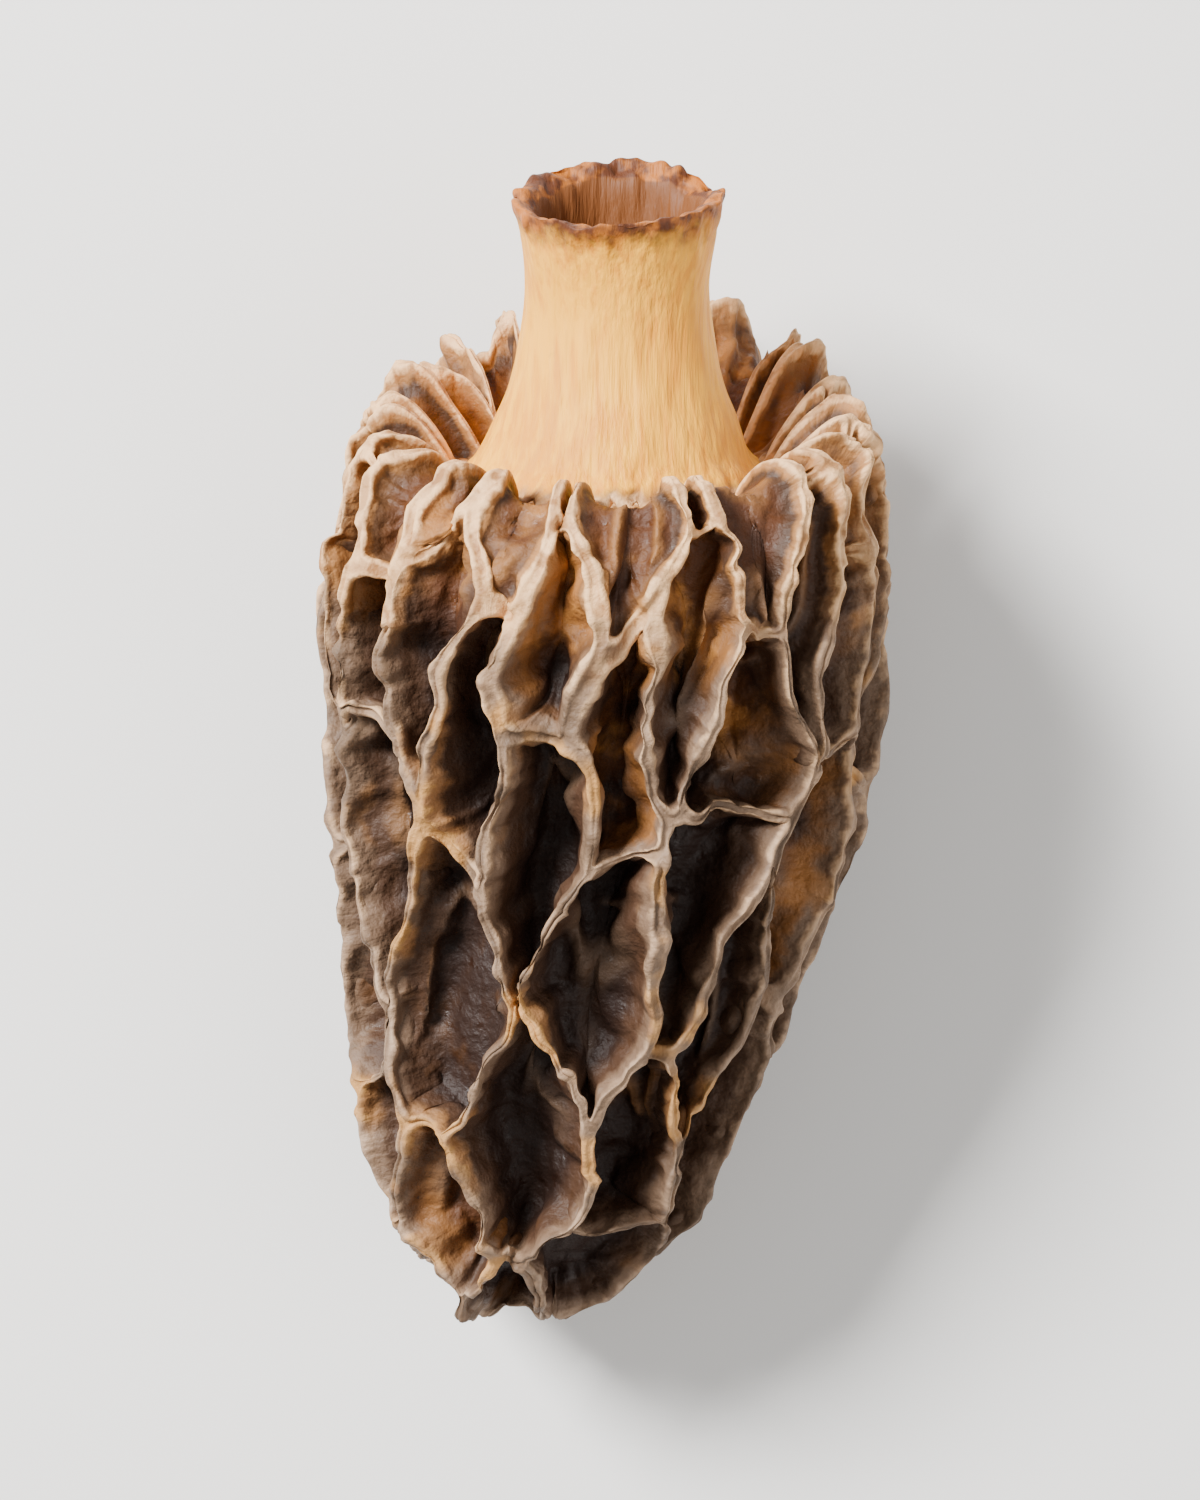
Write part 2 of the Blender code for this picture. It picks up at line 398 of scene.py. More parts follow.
class Mask(Enum):
    """What a point's named value says about the flesh there."""

    PIT = "pit"  # 0 on the crest of a ridge, 1 on a pit's floor
    TONE = "tone"  # a random value for each pit
    NEAR = "near"  # 1 at the groove, 0 some way up the cap
    STEM = "stem"  # 1 on the stem
    CUT = "cut"  # 1 round the stem's cut end, and less where its skin is frayed
    INNER = "inner"  # 1 in the bore and the hollow cap
    VEIN = "vein"  # 1 along the fine ribs inside the pits


@dataclass
class Skin:
    """Points, faces and masks of a mesh while it is being made.

    Each point also has a root: the place on the crest that it hangs below, or its own place.
    """

    points: list[np.ndarray] = field(default_factory=list)
    roots: list[np.ndarray] = field(default_factory=list)
    faces: list[tuple[int, ...]] = field(default_factory=list)
    masks: dict[Mask, list[np.ndarray]] = field(default_factory=lambda: {m: [] for m in Mask})
    count: int = 0

    def add(
        self, points: np.ndarray, roots: np.ndarray | None = None, **masks: float | np.ndarray
    ) -> np.ndarray:
        """Add points.

        Args:
            points: the points, one to a row.
            roots: their roots, or None where they are their own.
            **masks: each mask's value for them all, or a value each; 0 where left out.

        Returns:
            The numbers of the new points.
        """
        self.points.append(points)
        self.roots.append(points if roots is None else roots)
        for mask in Mask:
            value = masks.get(mask.value, 0.0)
            self.masks[mask].append(np.broadcast_to(value, len(points)))
        numbers = np.arange(self.count, self.count + len(points))
        self.count += len(points)
        return numbers

    def bridge(self, outer: np.ndarray, inner: np.ndarray) -> None:
        """Join two rings of as many points with four-sided faces."""
        outer_next, inner_next = np.roll(outer, -1), np.roll(inner, -1)
        quads = np.stack([outer, outer_next, inner_next, inner], axis=1)
        self.faces.extend(map(tuple, quads.tolist()))

    def fan(self, ring: np.ndarray, centre: int) -> None:
        """Close a ring with a fan of faces round one point."""
        for a, b in zip(ring.tolist(), np.roll(ring, -1).tolist()):
            self.faces.append((a, b, centre))

    def shape_all(self, surface: CapSurface) -> None:
        """Turn every point so far from a point in the ball to its place on the cap."""
        self.points = [surface.place(points) for points in self.points]
        self.roots = [surface.place(roots) for roots in self.roots]

    def to_mesh(self, name: str) -> bpy.types.Mesh:
        """Make a mesh, with the masks and the roots as attributes.

        Args:
            name: the mesh's name.

        Returns:
            The mesh.
        """
        mesh = bpy.data.meshes.new(name)
        mesh.from_pydata(np.vstack(self.points).tolist(), [], self.faces)
        roots = mesh.attributes.new(ROOT, "FLOAT_VECTOR", "POINT")
        roots.data.foreach_set("vector", np.vstack(self.roots).astype(np.float32).ravel())
        for mask, values in self.masks.items():
            attribute = mesh.attributes.new(mask.value, "FLOAT", "POINT")
            attribute.data.foreach_set("value", np.concatenate(values).astype(np.float32))
        return mesh


@dataclass(frozen=True)
class WallStep:
    """One ring of points down a pit's wall."""

    inset: float  # millimetres in from the ridge's middle
    depth: float  # millimetres below the crest
    share: float  # of the pit's own depth, added to that
    pit: float  # the value of the pit mask
    follow: float  # how much of the crest's waves it follows


@dataclass
class Cap:
    """The cap's ridges and pits. Lengths are in millimetres, and angles on the ball in radians."""

    surface: CapSurface
    net: PitNet
    pit_depth: float = 2.3
    depth_spread: Span = (0.85, 1.08)
    tip_depth_share: float = 0.35
    tip_deepening: float = 2.2
    shoulder_depth_share: float = 0.45
    shoulder_span: Span = (0.72, 0.92)
    near_reach: float = 0.75
    rib_sink: float = 0.6
    segment: float = 0.5
    waves: Layers = (Layer(0.5, 2.6), Layer(0.2, 1.3, 31.7))
    wave_starts: Span = (0.0, 57.1)
    still_rim: float = 0.12
    still_tip: Span = (0.05, 0.3)
    crest_uneven: float = 0.45
    dips: Layers = (Layer(0.6, 2.4, 11.3), Layer(0.4, 1.2, 83.9))
    dip_middle: float = 0.5
    thickness_uneven: float = 1.4
    thickenings: Layers = (Layer(0.65, 4.0, 140.0), Layer(0.35, 1.5, 150.0))
    least_thickness: float = 0.55
    shoulder_thicker: float = 0.25
    wall: tuple[WallStep, ...] = (
        WallStep(inset=0.12, depth=-0.06, share=0.0, pit=0.1, follow=1.0),
        WallStep(inset=0.2, depth=0.08, share=0.0, pit=0.22, follow=1.0),
        WallStep(inset=0.22, depth=0.1, share=0.3, pit=0.5, follow=0.8),
        WallStep(inset=0.36, depth=0.1, share=0.62, pit=0.75, follow=0.45),
        WallStep(inset=0.70, depth=0.0, share=0.95, pit=0.95, follow=0.1),
    )
    least_left: float = 0.12
    floor_keep: float = 0.45
    floor_dip: float = 0.05

    def _is_rib(self, a: Vector, b: Vector) -> bool:
        """Tell the low cross ribs from the long ridges.

        Args:
            a: one end of a ridge, as a direction in the ball.
            b: its other end.

        Returns:
            Whether the ridge runs round the cap and not along it.
        """
        middle = (a + b).normalized()
        across = Vector((0, 0, 1)).cross(middle).normalized()
        round_scale, along_scale = self.surface.scales(middle)
        sideways = abs((b - a).dot(across)) * round_scale
        along = abs((b - a).dot(middle.cross(across))) * along_scale
        return sideways > along

    def _ridge(self, a: Vector, b: Vector) -> np.ndarray:
        """Divide one ridge, and let a cross rib sag.

        Args:
            a: the corner where it starts.
            b: the corner where it ends.

        Returns:
            The points between them, in the ball.
        """
        middle = (a + b).normalized()
        length = (b - a).length * sum(self.surface.scales(middle)) / 2
        count = max(int(round(length / self.segment)), 2)
        sink = self.rib_sink if self._is_rib(a, b) else 0.0
        found = []
        for step in range(1, count):
            share = step / count
            direction = a.lerp(b, share).normalized()
            depth = 4 * share * (1 - share) * sink
            found.append(direction * (1 - depth / self.surface.ball_depth))
        return np.array(found)

    def _wave(self, ball: np.ndarray, noise: Noise) -> np.ndarray:
        """Wave the ridges from side to side and make their crests uneven.

        Args:
            ball: the ridges' points in the ball.
            noise: where the waves come from.

        Returns:
            The waved points.
        """
        reach = np.linalg.norm(ball, axis=1)[:, None]
        direction = ball / reach
        real = self.surface.place(direction)
        across = np.cross([0.0, 0.0, 1.0], direction)
        across /= np.maximum(np.linalg.norm(across, axis=1), 1e-6)[:, None]
        along = np.cross(direction, across)
        colatitude = np.arccos(np.clip(direction[:, 2], -1, 1))
        rim = self.surface.rim_colatitude
        inside = 1 - ease(colatitude, rim - self.still_rim, rim)
        inside *= ease(colatitude, *self.still_tip)
        scales = np.array([self.surface.scales(Vector(d)) for d in direction])
        for axis, scale, start in zip((across, along), scales.T, self.wave_starts):
            push = noise.pile(real + start, self.waves)
            ball = ball + axis * (reach[:, 0] * inside * push / scale)[:, None]
        drop = self.crest_uneven * inside * (noise.pile(real, self.dips) + self.dip_middle)
        return unit_rows(ball) * (reach - drop[:, None] / self.surface.ball_depth)

    def _pit_depth(self, colatitude: float) -> float:
        """Work out a pit's depth.

        Args:
            colatitude: how far the pit's middle is from the tip.

        Returns:
            Its depth in millimetres: less at the tip, and where the cap turns in to the stem.
        """
        share = colatitude / self.surface.rim_colatitude
        at_tip = min(self.tip_depth_share + self.tip_deepening * share, 1.0)
        at_stem = float(np.interp(share, self.shoulder_span, (1.0, self.shoulder_depth_share)))
        return self.pit_depth * at_tip * at_stem

    def _sink_pit(
        self,
        skin: Skin,
        ring: np.ndarray,
        plain: np.ndarray,
        crest: np.ndarray,
        noise: Noise,
        rng: random.Random,
    ) -> None:
        """Line one pit, from its ridges down to its floor.

        Args:
            skin: takes the new points and faces.
            ring: the numbers of the crest's points round the pit.
            plain: the directions of those points before the ridges were waved.
            crest: the points themselves, in the ball.
            noise: where the ridges' uneven thickness comes from.
            rng: draws this pit's depth and tone.
        """
        reach = np.linalg.norm(crest, axis=1)
        waved = crest / reach[:, None]
        middle = Vector(plain.mean(axis=0)).normalized()
        across = Vector((0, 0, 1)).cross(middle)
        across = across.normalized() if across.length > 0.05 else Vector((1, 0, 0))
        axes = (across, middle.cross(across).normalized())
        depth = self._pit_depth(middle.angle(Vector((0, 0, 1)))) * rng.uniform(*self.depth_spread)
        near = self._near(crest)
        thickness = noise.pile(self.surface.place(waved), self.thickenings)
        thickness = np.maximum(1 + self.thickness_uneven * thickness, self.least_thickness)
        thickness *= 1 + self.shoulder_thicker * near
        sunk_crest = (1 - reach) * self.surface.ball_depth
        marks = {"tone": rng.random(), "near": near}
        outer = ring
        for step in self.wall:
            start = waved * step.follow + plain * (1 - step.follow) - np.array(middle)
            moved = self._drawn_in(start, axes, self.surface.scales(middle), step.inset * thickness)
            below = sunk_crest + step.depth + step.share * (depth - sunk_crest)
            ring_at, below = moved + np.array(middle), np.maximum(below, 0)
            outer = self._ring(skin, outer, ring_at, below, crest, pit=step.pit, **marks)
        floor = np.array(middle) + moved * self.floor_keep
        below = np.full(len(floor), depth)
        outer = self._ring(skin, outer, floor, below, crest, pit=1.0, **marks)
        bottom = np.array(middle)[None] * (1 - (depth + self.floor_dip) / self.surface.ball_depth)
        marks["near"] = marks["near"].mean()
        lowest = skin.add(bottom, crest.mean(axis=0)[None], pit=1.0, **marks)
        skin.fan(outer, int(lowest[0]))

    def _near(self, ball: np.ndarray) -> np.ndarray:
        """Measure how near points are to the groove.

        Args:
            ball: points in the ball.

        Returns:
            1 for a point at the groove, falling to 0 some way up the cap.
        """
        colatitude = np.arccos(np.clip(unit_rows(ball)[:, 2], -1, 1))
        rim = self.surface.rim_colatitude
        return ease(colatitude, rim - self.near_reach, rim)

    def _drawn_in(
        self,
        away: np.ndarray,
        axes: tuple[Vector, Vector],
        scales: tuple[float, float],
        inset: np.ndarray,
    ) -> np.ndarray:
        """Draw a ring in towards its middle.

        Args:
            away: the ring's points, from its middle.
            axes: the directions round the cap and along it.
            scales: the millimetres for a radian along each.
            inset: how far to draw each point in, in millimetres.

        Returns:
            The new points, from the middle.
        """
        moved = away.copy()
        for axis, scale in zip(axes, scales):
            part = away @ np.array(axis)
            keep = np.maximum(1 - inset / (np.abs(part).max() * scale), self.least_left)
            moved += np.outer(part * (keep - 1), np.array(axis))
        return moved

    def _ring(
        self,
        skin: Skin,
        outer: np.ndarray,
        directions: np.ndarray,
        below: np.ndarray,
        crest: np.ndarray,
        **masks: float | np.ndarray,
    ) -> np.ndarray:
        """Add a ring of points below the crests, and join it to the one outside it.

        Args:
            skin: takes the points and faces.
            outer: the numbers of the ring outside it.
            directions: where the new points are, as directions of any length.
            below: how far they are below the crests, in millimetres.
            crest: their roots, in the ball.
            **masks: their masks.

        Returns:
            The numbers of the new points.
        """
        sunk = unit_rows(directions) * (1 - below / self.surface.ball_depth)[:, None]
        made = skin.add(sunk, crest, **masks)
        skin.bridge(outer, made)
        return made

    def weave(self, skin: Skin, noise: Noise) -> np.ndarray:
        """Make the whole cap, in the ball.

        Args:
            skin: takes the cap's points and faces.
            noise: where the ridges' waves come from.

        Returns:
            The numbers of the points along the groove, in order.
        """
        corners, rings = self.net.polygons()
        crest = [np.array(corners)]
        inside: dict[tuple[int, int], list[int]] = {}
        total = len(corners)
        for ring in rings:
            for a, b in zip(ring, ring[1:] + ring[:1]):
                if (b, a) in inside:
                    inside[a, b] = inside[b, a][::-1]
                    continue
                points = self._ridge(corners[a], corners[b])
                crest.append(points)
                inside[a, b] = list(range(total, total + len(points)))
                total += len(points)
        plain = np.vstack(crest)
        waved = self._wave(plain, noise)
        skin.add(waved, near=self._near(waved))
        plain = unit_rows(plain)
        rng = random.Random(self.net.seed + 1)
        for ring in rings:
            numbers = self._along(ring, inside)
            self._sink_pit(skin, numbers, plain[numbers], waved[numbers], noise, rng)
        rim = self.net.rim_loop(rings)
        return self._along(rim, inside)

    @staticmethod
    def _along(corners: list[int], inside: dict[tuple[int, int], list[int]]) -> np.ndarray:
        """Follow a loop of ridges.

        Args:
            corners: the corner numbers, in order.
            inside: the points inside each ridge, by its corners.

        Returns:
            The numbers of all the points round it.
        """
        found: list[int] = []
        for a, b in zip(corners, corners[1:] + corners[:1]):
            found.append(a)
            found.extend(inside[a, b])
        return np.array(found)


@dataclass
class Stem:
    """The stem, its cut end, and the hollow inside it and the cap. Lengths are in millimetres."""

    outside: Outline = (
        (4.0, 7.6),
        (3.75, 7.3),
        (3.3, 6.2),
        (2.8, 4.9),
        (2.45, 3.4),
        (2.4, 2.2),
        (2.6, 1.0),
        (2.82, 0.25),
    )
    lip: Outline = ((2.85, 0.08), (2.76, -0.02), (2.55, 0.0), (2.36, 0.06), (2.22, 0.22))
    bore: Outline = (
        (2.1, 0.5),
        (1.85, 1.2),
        (1.7, 3.0),
        (1.8, 5.0),
        (2.3, 7.4),
        (3.1, 9.8),
        (4.3, 12.0),
        (4.6, 14.6),
        (4.1, 18.4),
        (3.2, 22.2),
        (2.0, 25.2),
        (0.9, 26.8),
    )
    bore_top: float = 27.2
    frayed: float = 1.5  # how far up from the cut end the skin is frayed
    fray: float = 0.75  # how much it is frayed at the cut end
    stem_step: float = 0.55
    bore_step: float = 1.4
    evening_rings: int = 5  # how many rings it takes to space the points evenly

    def grow(self, skin: Skin, rim: np.ndarray, rim_angles: np.ndarray) -> None:
        """Grow the stem and the hollow from the groove, ring by ring.

        Args:
            skin: takes the points and faces.
            rim: the numbers of the groove's points, in order.
            rim_angles: their angles round the mushroom.
        """
        angles = np.unwrap(rim_angles)
        turn = math.copysign(math.tau, angles[-1] - angles[0])
        even = angles.mean() + turn * (np.arange(len(rim)) / len(rim) - 0.5 + 0.5 / len(rim))
        outer = rim
        rows = even_steps(smooth_curve(self.outside), self.stem_step)[1:]
        for number, (radius, height) in enumerate(rows):
            level = angles + (even - angles) * min((number + 1) / self.evening_rings, 1.0)
            frayed = self.fray * max(1 - height / self.frayed, 0.0)
            outer = self._ring(skin, outer, level, radius, height, stem=1.0, cut=frayed)
        for radius, height in self.lip:
            outer = self._ring(skin, outer, even, radius, height, stem=1.0, cut=1.0)
        for radius, height in even_steps(smooth_curve(self.bore), self.bore_step):
            outer = self._ring(skin, outer, even, radius, height, stem=1.0, inner=1.0)
        top = skin.add(np.array([[0.0, 0.0, self.bore_top]]), stem=1.0, inner=1.0)
        skin.fan(outer, int(top[0]))

    @staticmethod
    def _ring(
        skin: Skin,
        outer: np.ndarray,
        angles: np.ndarray,
        radius: float,
        height: float,
        **masks: float,
    ) -> np.ndarray:
        """Add a level ring, and join it to the one before it.

        Args:
            skin: takes the points and faces.
            outer: the numbers of the ring before it.
            angles: its points' angles round the mushroom.
            radius: its radius, in millimetres.
            height: its height, in millimetres.
            **masks: its masks.

        Returns:
            The numbers of the new points.
        """
        flat = radius * np.stack([np.cos(angles), np.sin(angles)], axis=1)
        made = skin.add(np.column_stack([flat, np.full(len(flat), height)]), **masks)
        skin.bridge(outer, made)
        return made


@dataclass
class Drying:
    """How the mushroom has grown and dried out of true, and how it lies, in millimetres."""

    twist: float = math.radians(10)
    cap_lean: float = -2.6
    stem_lift: float = 1.4
    stem_lift_end: float = 10.0
    shoulder_slant: float = 0.32
    slant_from: float = 3.0
    slant_heights: Span = (8.0, 22.0)
    flatten: float = 0.95
    lump: float = 0.3
    lumps: tuple[tuple[float, ...], ...] = ((0.38, 0.0, 0.43, 4.4), (0.0, 0.55, -0.31, 2.1))
    lie_tilt: float = math.radians(9)
    laid_origin: Triple = (-0.497586, -14.848214, -8.764059)

    def bend(self, grown: np.ndarray, length: float, widest: float) -> np.ndarray:
        """Slant, lump, flatten, twist and bend the true shape.

        Args:
            grown: the true shape's points, in millimetres.
            length: the height of the tip.
            widest: the cap's largest radius.

        Returns:
            The bent points.
        """
        x, y, z = grown.T
        shoulder = ease(np.hypot(x, y), self.slant_from, widest)
        shoulder *= 1 - ease(z, *self.slant_heights)
        lump = sum(np.sin(a * x + b * y + c * z + start) for a, b, c, start in self.lumps)
        swell = 1 + self.lump / widest * lump
        wide, deep = x * swell, y * swell * self.flatten
        high = z - self.shoulder_slant * (widest - deep) * shoulder
        share = high / length
        turn = self.twist * share
        turned_x = wide * np.cos(turn) - deep * np.sin(turn) + self.cap_lean * share**2
        turned_y = wide * np.sin(turn) + deep * np.cos(turn)
        curve = np.maximum(1 - high / self.stem_lift_end, 0.0)
        high = high + 2 * self.stem_lift / self.stem_lift_end * curve * turned_y
        return np.stack([turned_x, turned_y + self.stem_lift * curve**2, high], axis=1)

    def lay_down(self, bent: np.ndarray) -> np.ndarray:
        """Lay the mushroom on its back and press its lowest crests flat on the table.

        Args:
            bent: the bent shape's points, in millimetres.

        Returns:
            The points as they lie, in millimetres.
        """
        lying = Matrix.Rotation(math.pi / 2 + self.lie_tilt, 3, "X")
        laid = bent @ np.array(lying).T - np.array(self.laid_origin)
        laid[:, 2] = np.maximum(laid[:, 2], 0.0)
        return laid


@dataclass
class Wrinkles:
    """The fine folds of the dried flesh. Heights and moves are in millimetres."""

    noise: Noise
    points: np.ndarray  # the grown shape's points
    roots: np.ndarray
    masks: dict[Mask, np.ndarray]
    crests: Layers = (Layer(0.09, 0.9), Layer(0.10, 0.4, 9.1))
    lip_rise: Span = (0.04, 0.10)
    lip_fall: Span = (0.16, 0.26)
    lip_height: float = 0.049
    lips: Layers = (Layer(0.07, 1.1, 33.0),)
    folds: Layers = (Layer(0.2, 1.1, 60.0), Layer(0.1, 0.45, 70.0))
    lining: Layers = (Layer(0.4, 1.9, 21.0), Layer(0.16, 0.8, 3.0))
    lining_middle: float = 0.2
    vein_height: float = 0.5
    long_veins: Layers = (Layer(1.0, (1.3, 1.3, 8.0), 81.0),)
    long_places: Layers = (Layer(1.0, 2.2, 95.0),)
    cross_veins: Layers = (Layer(1.0, (4.0, 4.0, 1.5), 71.0),)
    cross_places: Layers = (Layer(1.0, 2.4, 75.0),)
    flutes: Layers = (Layer(0.05, (0.4, 0.4, 4.0)), Layer(0.10, (1.3, 1.3, 4.0), 5.0))
    ragged: Layers = (Layer(0.10, 0.7, 40.0), Layer(0.07, 0.3, 45.0))
    swollen: float = 0.06
    crinkles: Layers = (Layer(0.17, 1.45), Layer(0.11, 0.62, 5.0), Layer(0.06, 0.36, 15.0))
    crinkle_starts: Triple = (110.0, 120.0, 130.0)
    restless: Layers = (Layer(1.0, 3.0, 200.0),)
    torn: Layers = (Layer(0.26, 2.4, 160.0), Layer(0.17, 0.9, 165.0), Layer(0.10, 0.4, 170.0))
    torn_heights: Span = (0.2, 1.3)
    calm_near: Span = (0.88, 1.0)

    def depths(self) -> np.ndarray:
        """Work out how far each point moves outwards.

        Returns:
            The distances, one to a point.
        """
        points, pit, stem = self.points, self.masks[Mask.PIT], self.masks[Mask.STEM]
        on_lip = ease(pit, *self.lip_rise) * (1 - ease(pit, *self.lip_fall))
        crest = self.noise.pile(points, self.crests)
        crest += on_lip * (self.lip_height + self.noise.pile(points, self.lips))
        on_wall = ease(pit, 0.15, 0.4) * (1 - ease(pit, 0.85, 1.0))
        folds = self.noise.pile(self.roots, self.folds) * on_wall
        lining = self.noise.creases(points, self.lining) - self.lining_middle
        lining += self.vein_height * self.masks[Mask.VEIN]
        on_cap = (crest * (1 - pit) + folds + lining * pit) * self._calm()
        ragged = (self.noise.pile(points, self.ragged) + self.swollen) * self.masks[Mask.CUT]
        return on_cap * (1 - stem) + (self.noise.pile(points, self.flutes) + ragged) * stem

    def _calm(self) -> np.ndarray:
        """Return 1 over the cap, falling to 0 at the groove, where folds would tangle."""
        return 1 - ease(self.masks[Mask.NEAR], *self.calm_near)

    def veins(self) -> np.ndarray:
        """Find the fine ribs of the pits' floors and lower walls.

        Returns:
            A value for each point, 1 along a rib and 0 off them.
        """
        points, pit = self.points, self.masks[Mask.PIT]
        long = 1 - ease(self.noise.creases(points, self.long_veins), 0.0, 0.34)
        long *= ease(self.noise.pile(points, self.long_places), -0.35, 0.25)
        cross = 1 - ease(self.noise.creases(points, self.cross_veins), 0.0, 0.24)
        cross *= ease(self.noise.pile(points, self.cross_places), 0.0, 0.45)
        return np.maximum(long, 0.8 * cross) * ease(pit, 0.4, 0.8)

    def drift(self) -> np.ndarray:
        """Work out how the ridges crinkle sideways, and how ragged the stem's cut end is.

        Returns:
            The moves, one to a row.
        """
        points, roots, stem = self.points, self.roots, self.masks[Mask.STEM]
        reach = (1 - ease(self.masks[Mask.PIT], 0.4, 0.95)) * (1 - stem) * self._calm()
        reach *= 0.4 + 0.8 * ease(self.noise.pile(roots, self.restless), -0.35, 0.45)
        parts = [self.noise.pile(roots + start, self.crinkles) for start in self.crinkle_starts]
        moves = np.stack(parts, axis=1) * reach[:, None]
        torn = self.noise.pile(points * [1.0, 1.0, 0.0], self.torn)
        moves[:, 2] += torn * (1 - ease(points[:, 2], *self.torn_heights)) * stem
        return moves


@dataclass(frozen=True)
class Patches:
    """Soft-edged patches of noise."""

    size: float  # the size of the noise's lumps, in millimetres
    detail: float  # how many finer noises are added
    edge: Span  # the noise's values where a patch begins and where it is full


@dataclass(frozen=True)
class Wobble:
    """A noise that makes an edge uneven."""

    size: float  # the size of its lumps, in millimetres
    detail: float  # how many finer noises are added
    reach: float  # the difference between its highest and lowest values
    rooted: bool = False  # whether it runs down the walls


class Shaders:
    """Adds nodes to one material's tree."""

    def __init__(self, material: bpy.types.Material) -> None:
        """Start from the material's own tree."""
        self.tree = material.node_tree

    def node(
        self,
        kind: str,
        settings: dict[str, object] | None = None,
        inputs: dict[str | int, object] | None = None,
    ) -> bpy.types.Node:
        """Add a node.

        Args:
            kind: the node's type name.
            settings: its properties, which are set first.
            inputs: values, or outputs to link, by the input's name or number.

        Returns:
            The node.
        """
        node = self.tree.nodes.new(kind)
        for name, value in (settings or {}).items():
            setattr(node, name, value)
        for key, value in (inputs or {}).items():
            self.feed(node.inputs[key], value)
        return node

    def feed(self, socket: bpy.types.NodeSocket, value: object) -> None:
        """Link an output to a socket, or set the socket's own value.

        Args:
            socket: the input.
            value: an output to link, or a plain value.
        """
        if isinstance(value, Value):
            self.tree.links.new(value.socket, socket)
        elif isinstance(value, bpy.types.NodeSocket):
            self.tree.links.new(value, socket)
        else:
            socket.default_value = value

    def attribute(self, mask: Mask) -> Value:
        """Read one of the mesh's masks."""
        node = self.node("ShaderNodeAttribute", {"attribute_name": mask.value})
        return Value(self, node.outputs["Fac"])

    def along(self) -> Value:
        """Read how far a point lies towards the stem's end.

        Returns:
            The distance, in millimetres.
        """
        where = self.node("ShaderNodeTexCoord").outputs["Object"]
        parts = self.node("ShaderNodeSeparateXYZ", None, {"Vector": where})
        return Value(self, parts.outputs["Y"]) / MM

    def noise(
        self, size: float, detail: float = 2.0, stretch: Triple = (1, 1, 1), rooted: bool = False
    ) -> Value:
        """Read a noise over the object.

        Args:
            size: the size of its lumps, in millimetres.
            detail: how many finer noises are added.
            stretch: how many times finer it is along each axis.
            rooted: whether to read it at each point's root, so that it runs down the walls.

        Returns:
            The noise's value, from 0 to 1.
        """
        if rooted:
            where = self.node("ShaderNodeAttribute", {"attribute_name": ROOT}).outputs["Vector"]
        else:
            where = self.node("ShaderNodeTexCoord").outputs["Object"]
        scale = 1 / size if rooted else 1 / (size * MM)
        mapped = self.node("ShaderNodeMapping", None, {"Vector": where, "Scale": stretch})
        inputs = {"Vector": mapped.outputs[0], "Scale": scale, "Detail": detail}
        return Value(self, self.node("ShaderNodeTexNoise", None, inputs).outputs["Fac"])

    def patches(self, kind: Patches) -> Value:
        """Return 1 inside patches of noise, and 0 between them."""
        return self.noise(kind.size, kind.detail).rise(*kind.edge)

    def wobble(self, kind: Wobble) -> Value:
        """Return a noise round 0 that makes an edge uneven."""
        return (self.noise(kind.size, kind.detail, rooted=kind.rooted) - 0.5) * kind.reach

    def mix(self, share: object, first: object, second: object) -> bpy.types.NodeSocket:
        """Mix two colours.

        Args:
            share: 0 for the first, 1 for the second.
            first: a colour, or an output that gives one.
            second: the same.

        Returns:
            The output with the mixed colour.
        """
        settings = {"data_type": "RGBA", "clamp_factor": True}
        inputs = {0: share, 6: self._colour(first), 7: self._colour(second)}
        return self.node("ShaderNodeMix", settings, inputs).outputs[2]

    @staticmethod
    def _colour(value: object) -> object:
        """Give a plain colour its alpha, and pass an output on."""
        return (*value, 1.0) if isinstance(value, tuple) else value


class Value:
    """A number in a material's tree, with the usual arithmetic."""

    def __init__(self, shaders: Shaders, socket: bpy.types.NodeSocket) -> None:
        """Wrap an output."""
        self.shaders = shaders
        self.socket = socket

    def _math(self, operation: str, *operands: object) -> Value:
        """Add a math node of these operands."""
        inputs = dict(enumerate(operands))
        node = self.shaders.node("ShaderNodeMath", {"operation": operation}, inputs)
        return Value(self.shaders, node.outputs[0])

    def __add__(self, other: object) -> Value:
        """Return self + other."""
        return self._math("ADD", self, other)

    __radd__ = __add__

    def __sub__(self, other: object) -> Value:
        """Return self - other."""
        return self._math("SUBTRACT", self, other)

    def __rsub__(self, other: object) -> Value:
        """Return other - self."""
        return self._math("SUBTRACT", other, self)

    def __mul__(self, other: object) -> Value:
        """Return self * other."""
        return self._math("MULTIPLY", self, other)

    __rmul__ = __mul__

    def __truediv__(self, other: object) -> Value:
        """Return self / other."""
        return self._math("DIVIDE", self, other)

    def __rtruediv__(self, other: object) -> Value:
        """Return other / self."""
        return self._math("DIVIDE", other, self)

    def rise(self, low: float, high: float) -> Value:
        """Turn the number into a soft step.

        Args:
            low: where the rise starts.
            high: where it ends.

        Returns:
            0 below low, 1 above high, and a smooth rise between them.
        """
        settings = {"interpolation_type": "SMOOTHSTEP"}
        inputs = {"Value": self, "From Min": low, "From Max": high}
        node = self.shaders.node("ShaderNodeMapRange", settings, inputs)
        return Value(self.shaders, node.outputs["Result"])


